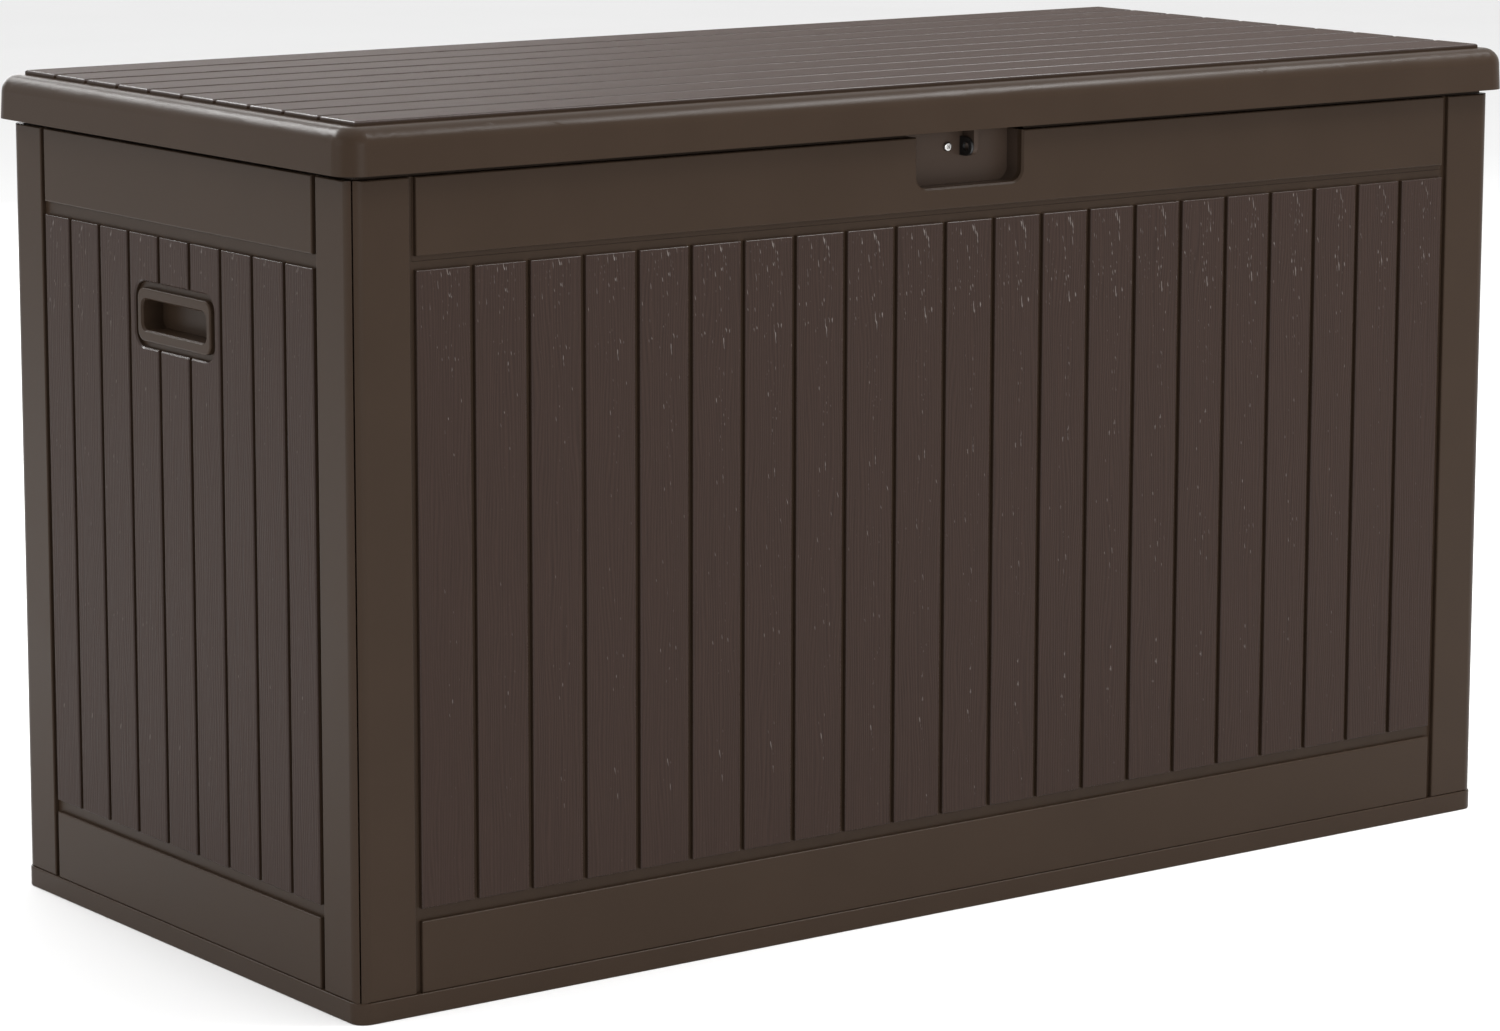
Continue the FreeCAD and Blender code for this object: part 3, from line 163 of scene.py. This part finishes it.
def smooth_resin(name, colour, gloss=0.33, shine=RESIN_SHINE):
    """Satin moulded resin: faint mottling in colour and gloss, and a fine spark texture."""
    material, tree, shader, where = new_material(name)
    cloud = noise(tree, where, 9.0, 3.0)
    speckle = noise(tree, where, 900.0, 2.0)
    cloud_share = calc(tree, "MULTIPLY", cloud, 0.7)
    speckle_share = calc(tree, "MULTIPLY", speckle, 0.3)
    mottle = calc(tree, "ADD", cloud_share, speckle_share)
    tint = mix_colours(tree, mottle, shaded(colour, 0.86), shaded(colour, 1.14))
    tree.links.new(tint, shader.inputs["Base Color"])
    vary_roughness(tree, shader, mottle, gloss - 0.05, gloss + 0.05, 0.3, 0.7)
    set_resin(shader, shine)
    bump(tree, shader, speckle, 0.00006)
    return material


def board_resin(name, colour, across, along, count, pitch, top, gloss, relief, flecks_and_glints):
    """Resin embossed with wood grain that runs along each board.

    The count boards lie side by side about the middle along the across axis, and top is
    their upper end along the other.  gloss is the mean roughness and relief the depth of the
    grain in metres.  Above 0 the fleck argument gives more of the raised flecks with their
    painted glints, and below 0 fewer.
    """
    material, tree, shader, where = new_material(name)
    axes = add(tree, "ShaderNodeSeparateXYZ", {"Vector": where}).outputs
    start = -count / 2 * pitch
    steps = calc(tree, "DIVIDE", calc(tree, "SUBTRACT", axes[across], start), pitch)
    board = calc(tree, "FLOOR", steps)
    local = calc(tree, "SUBTRACT", calc(tree, "FRACT", steps), 0.5)
    side_mm = calc(tree, "MULTIPLY", local, pitch * MM_PER_M)
    down_mm = calc(tree, "MULTIPLY", calc(tree, "SUBTRACT", top, axes[along]), MM_PER_M)
    seed = calc(tree, "MULTIPLY", board, 11.3)

    def stretched(side_rate, down_rate):
        """A noise place that runs faster across the board than along it."""
        vector = {
            "X": calc(tree, "MULTIPLY", side_mm, side_rate),
            "Y": seed,
            "Z": calc(tree, "MULTIPLY", down_mm, down_rate),
        }
        return add(tree, "ShaderNodeCombineXYZ", vector).outputs[0]

    figure = noise(tree, stretched(0.05, 0.006), 1.0, 1.0)
    fibre = noise(tree, stretched(0.75, 0.016), 1.0, 3.0, 0.6)
    pores = noise(tree, stretched(1.3, 0.075), 1.0, 2.0, 0.6)

    # grain lines that wander with the figure
    wander = calc(tree, "MULTIPLY", figure, 34.0)
    phase = calc(tree, "ADD", calc(tree, "MULTIPLY", side_mm, 1.9), wander)
    lines = ramp(tree, calc(tree, "SINE", phase), 0.0, 1.0, -1.0, 1.0)

    # short raised flecks with painted glints (their pale colour is a painted glint of light,
    # their relief is real), much alike on neighbouring boards, densest in the middle of the
    # upper end
    leaning = calc(tree, "ADD", side_mm, calc(tree, "MULTIPLY", down_mm, -0.12))
    fleck_place = {
        "X": calc(tree, "MULTIPLY", leaning, 0.60),
        "Y": calc(tree, "MULTIPLY", seed, 0.004),
        "Z": calc(tree, "MULTIPLY", down_mm, 0.10),
    }
    fleck_place = add(tree, "ShaderNodeCombineXYZ", fleck_place).outputs[0]
    fleck_and_glint = noise(tree, fleck_place, 1.0, 1.0)
    off_middle = calc(tree, "ABSOLUTE", calc(tree, "SUBTRACT", side_mm, 5.0))
    near_middle = ramp(tree, off_middle, 0.07, 0.0, 1.0, 12.0)
    near_top = ramp(tree, down_mm, 0.09, 0.0, 0.0, 190.0)
    fleck_and_glint = calc(tree, "ADD", fleck_and_glint, calc(tree, "ADD", near_middle, near_top))
    fleck_and_glint = ramp(tree, fleck_and_glint, 0.0, 1.0, 0.79 - flecks_and_glints, 0.85 - flecks_and_glints)

    fibre_share = calc(tree, "MULTIPLY", fibre, 0.6)
    line_share = calc(tree, "MULTIPLY", lines, 0.25)
    pore_share = calc(tree, "MULTIPLY", pores, 0.25)
    grain = calc(tree, "ADD", calc(tree, "ADD", fibre_share, line_share), pore_share)
    depth = ramp(tree, grain, 0.0, 1.0, 0.3, 0.8)
    tint = mix_colours(tree, depth, shaded(colour, 0.80), shaded(colour, 1.22))
    # the flecks' pale grey is a painted glint, laid over the grain colour
    tint = mix_colours(tree, fleck_and_glint, tint, opaque(PAINTED_GLINT_GREY))
    tree.links.new(tint, shader.inputs["Base Color"])
    vary_roughness(tree, shader, grain, gloss - 0.07, gloss + 0.07, 0.3, 0.8)
    set_resin(shader, RESIN_SHINE)
    height = calc(tree, "ADD", grain, calc(tree, "MULTIPLY", fleck_and_glint, 0.9))
    bump(tree, shader, height, relief)
    return material


def metal(name, colour, roughness, brushed=(1.0, 1.0, 1.0), spread=0.12):
    """Bare or plated metal with fine drawn marks."""
    material, tree, shader, where = new_material(name)
    stretch = add(tree, "ShaderNodeVectorMath", {0: where, 1: brushed}, operation="MULTIPLY")
    marks = noise(tree, stretch.outputs[0], 700.0, 3.0, 0.6)
    tint = mix_colours(tree, marks, shaded(colour, 0.85), shaded(colour, 1.08))
    tree.links.new(tint, shader.inputs["Base Color"])
    half = spread / 2
    vary_roughness(tree, shader, marks, roughness - half, roughness + half, 0.3, 0.7)
    shader.inputs["Metallic"].default_value = 1.0
    bump(tree, shader, marks, 0.00003)
    return material


def coated(name, colour, roughness):
    """Black paint or nylon: a fine pebbled skin with a soft sheen."""
    material, tree, shader, where = new_material(name)
    pebble = noise(tree, where, 1500.0, 2.0)
    tint = mix_colours(tree, pebble, shaded(colour, 0.7), shaded(colour, 1.4))
    tree.links.new(tint, shader.inputs["Base Color"])
    vary_roughness(tree, shader, pebble, roughness - 0.06, roughness + 0.08, 0.3, 0.7)
    bump(tree, shader, pebble, 0.00005)
    return material


smooth = smooth_resin("smooth_resin_look", SMOOTH_BROWN)
# lighter resin with painted fill light for the shaded lock recess and tongue
lock_resin_painted_fill = smooth_resin("lock_resin_painted_fill_look", LOCK_BROWN_PAINTED_FILL)
board_edges = smooth_resin("board_edges_look", BOARD_BROWN, gloss=0.28, shine=0.3)
front_boards = board_resin(
    "front_boards_look", BOARD_BROWN, X_AXIS, Z_AXIS, FRONT_BOARDS, FRONT_PITCH, PLANK_TOP,
    gloss=0.50, relief=0.00045, flecks_and_glints=0.0,
)
side_boards = board_resin(
    "side_boards_look", BOARD_BROWN, Y_AXIS, Z_AXIS, SIDE_BOARDS, SIDE_PITCH, PLANK_TOP,
    gloss=0.48, relief=0.00045, flecks_and_glints=-0.03,
)
# the lighter brown on the deck is painted light falling from above
deck_boards = board_resin(
    "deck_boards_look", DECK_BROWN_PAINTED_LIGHT, Y_AXIS, X_AXIS, DECK_BOARDS, DECK_PITCH, DECK_HALF_LENGTH,
    gloss=0.60, relief=0.00018, flecks_and_glints=0.0,
)
black_steel = coated("black_steel_look", (0.004, 0.004, 0.004), 0.42)
black_nylon = coated("black_nylon_look", (0.014, 0.014, 0.015), 0.5)
bright = metal("bright_screw_look", (0.62, 0.61, 0.60), 0.24)
zinc = metal("zinc_look", (0.58, 0.58, 0.56), 0.34)
drawn_rod = metal("polished_rod_look", (0.78, 0.78, 0.80), 0.1, (1.0, 0.1, 0.1), 0.06)

PLAIN = {
    "smooth_resin": smooth,
    "grained_resin": smooth,
    "black_steel": black_steel,
    "black_nylon": black_nylon,
    "bright_screw": bright,
    "zinc_screw": zinc,
    "zinc_bracket": zinc,
    "polished_rod": drawn_rod,
}


def wall_rules(across, outward, field, wall, faces):
    """Where the wall's boards are: their embossed faces, then their glossy rounded edges."""
    def on_board(centre):
        return abs(centre[across]) < field and PLANK_BOTTOM < centre.z < PLANK_TOP

    def on_face(centre):
        return on_board(centre) and wall - abs(centre[outward]) < FACE_DEPTH

    def on_edge(centre):
        return on_board(centre) and FACE_DEPTH <= wall - abs(centre[outward]) < EDGE_DEPTH

    return (on_face, faces), (on_edge, board_edges)


def on_deck_face(centre):
    """True on the flat of the lid's boards."""
    return centre.z > DECK_TOP - FACE_DEPTH


def on_deck_edge(centre):
    """True on the rounded edges of the lid's boards."""
    return DECK_TOP - DECK_EDGE_DEPTH < centre.z <= DECK_TOP - FACE_DEPTH


def dress(name, material, rules=()):
    """Give a node its material, and others where a rule's test holds."""
    mesh = nodes[name].data
    mesh.materials.clear()
    mesh.materials.append(material)
    for polygon in mesh.polygons:
        polygon.material_index = 0
    for index, (test, other) in enumerate(rules, 1):
        mesh.materials.append(other)
        for polygon in mesh.polygons:
            if test(polygon.center):
                polygon.material_index = index


for subpart in frame["record"]["subparts"]:
    dress(subpart["node"], PLAIN[subpart["material_slot"]])
front_rules = wall_rules(X_AXIS, Y_AXIS, FRONT_FIELD, BODY_HALF_DEPTH, front_boards)
side_rules = wall_rules(Y_AXIS, X_AXIS, SIDE_FIELD, BODY_HALF_LENGTH, side_boards)
for name in ("front_panel", "back_panel"):
    dress(name, smooth, front_rules)
for name in ("left_panel", "right_panel"):
    dress(name, smooth, side_rules)
# the pocket and the tongue get the lighter resin: painted fill light against the shade in the
# recess
for name in ("lock_pocket", "lid_lock_tongue"):
    dress(name, lock_resin_painted_fill)
dress("lid_shell", smooth, ((on_deck_face, deck_boards), (on_deck_edge, board_edges)))


# ---- floor, lights, camera ---------------------------------------------------------
def floor_material():
    """A plain pale floor with the faintest unevenness."""
    material, tree, shader, where = new_material("floor_look")
    cloud = noise(tree, where, 1.5, 2.0)
    tint = mix_colours(tree, cloud, opaque((0.90, 0.90, 0.90)), opaque((0.93, 0.93, 0.93)))
    tree.links.new(tint, shader.inputs["Base Color"])
    shader.inputs["Roughness"].default_value = 0.9
    shader.inputs["Specular IOR Level"].default_value = 0.1
    return material


def make_floor(half_size):
    """One large flat sheet under the box."""
    mesh = bpy.data.meshes.new("studio_floor")
    corners = [
        (-half_size, -half_size, 0.0),
        (half_size, -half_size, 0.0),
        (half_size, half_size, 0.0),
        (-half_size, half_size, 0.0),
    ]
    mesh.from_pydata(corners, [], [(0, 1, 2, 3)])
    mesh.materials.append(floor_material())
    floor = bpy.data.objects.new("studio_floor", mesh)
    bpy.context.scene.collection.objects.link(floor)


def soft_light(name, place, target, width, height, power):
    """A rectangular soft box aimed at a point."""
    data = bpy.data.lights.new(name, "AREA")
    data.shape = "RECTANGLE"
    data.size = width
    data.size_y = height
    data.energy = power
    lamp = bpy.data.objects.new(name, data)
    lamp.location = place
    lamp.rotation_euler = (Vector(target) - Vector(place)).to_track_quat("-Z", "Y").to_euler()
    bpy.context.scene.collection.objects.link(lamp)


make_floor(40.0)
world = bpy.data.worlds.new("studio")
world.use_nodes = True
world.node_tree.nodes["Background"].inputs["Color"].default_value = (1.0, 1.0, 1.0, 1.0)
world.node_tree.nodes["Background"].inputs["Strength"].default_value = 0.90
bpy.context.scene.world = world
soft_light("overhead_box", (-0.3, 0.6, 6.0), (-0.3, 0.2, 0.8), 7.0, 5.0, 70.0)
soft_light("rear_high_box", (-1.5, 3.6, 3.3), (-0.4, 0.0, 0.8), 2.8, 0.4, 100.0)
soft_light("right_high_box", (2.4, -1.4, 3.8), (0.1, -0.33, 0.75), 2.4, 0.8, 150.0)
soft_light("left_box", (-4.2, 0.6, 1.8), (-0.7, 0.0, 0.5), 2.6, 2.6, 30.0)
soft_light("front_box", (-0.6, -6.0, 1.6), (0.0, -0.3, 0.6), 3.0, 2.0, 80.0)
soft_light("rear_low_box", (1.3, 5.6, 1.9), (-0.3, 0.0, 0.8), 4.0, 1.8, 65.0)

CAMERA_PLACE = (-3.069151, -4.107555, 1.309892)
CAMERA_YAW = math.radians(36.476)
CAMERA_PITCH = math.radians(9.289)
CAMERA_ROLL = math.radians(0.110)
FOCAL_WIDTHS = 4862.0 / 1500.0
CAMERA_SHIFT = -0.067


def make_camera():
    """The camera, turned to the right of +Y by its yaw and down by its pitch."""
    data = bpy.data.cameras.new("camera")
    data.sensor_fit = "HORIZONTAL"
    data.sensor_width = 36.0
    data.lens = FOCAL_WIDTHS * data.sensor_width
    data.shift_y = CAMERA_SHIFT
    data.clip_end = 200.0
    camera = bpy.data.objects.new("camera", data)
    forward = Vector((
        math.sin(CAMERA_YAW) * math.cos(CAMERA_PITCH),
        math.cos(CAMERA_YAW) * math.cos(CAMERA_PITCH),
        -math.sin(CAMERA_PITCH),
    ))
    level = Vector((math.cos(CAMERA_YAW), -math.sin(CAMERA_YAW), 0.0))
    upright = level.cross(forward)
    right = level * math.cos(CAMERA_ROLL) + upright * math.sin(CAMERA_ROLL)
    top = upright * math.cos(CAMERA_ROLL) - level * math.sin(CAMERA_ROLL)
    turn = Matrix((right, top, -forward)).transposed()
    camera.matrix_world = Matrix.Translation(CAMERA_PLACE) @ turn.to_4x4()
    bpy.context.scene.collection.objects.link(camera)
    bpy.context.scene.camera = camera


make_camera()
bpy.context.scene.view_settings.view_transform = "Standard"
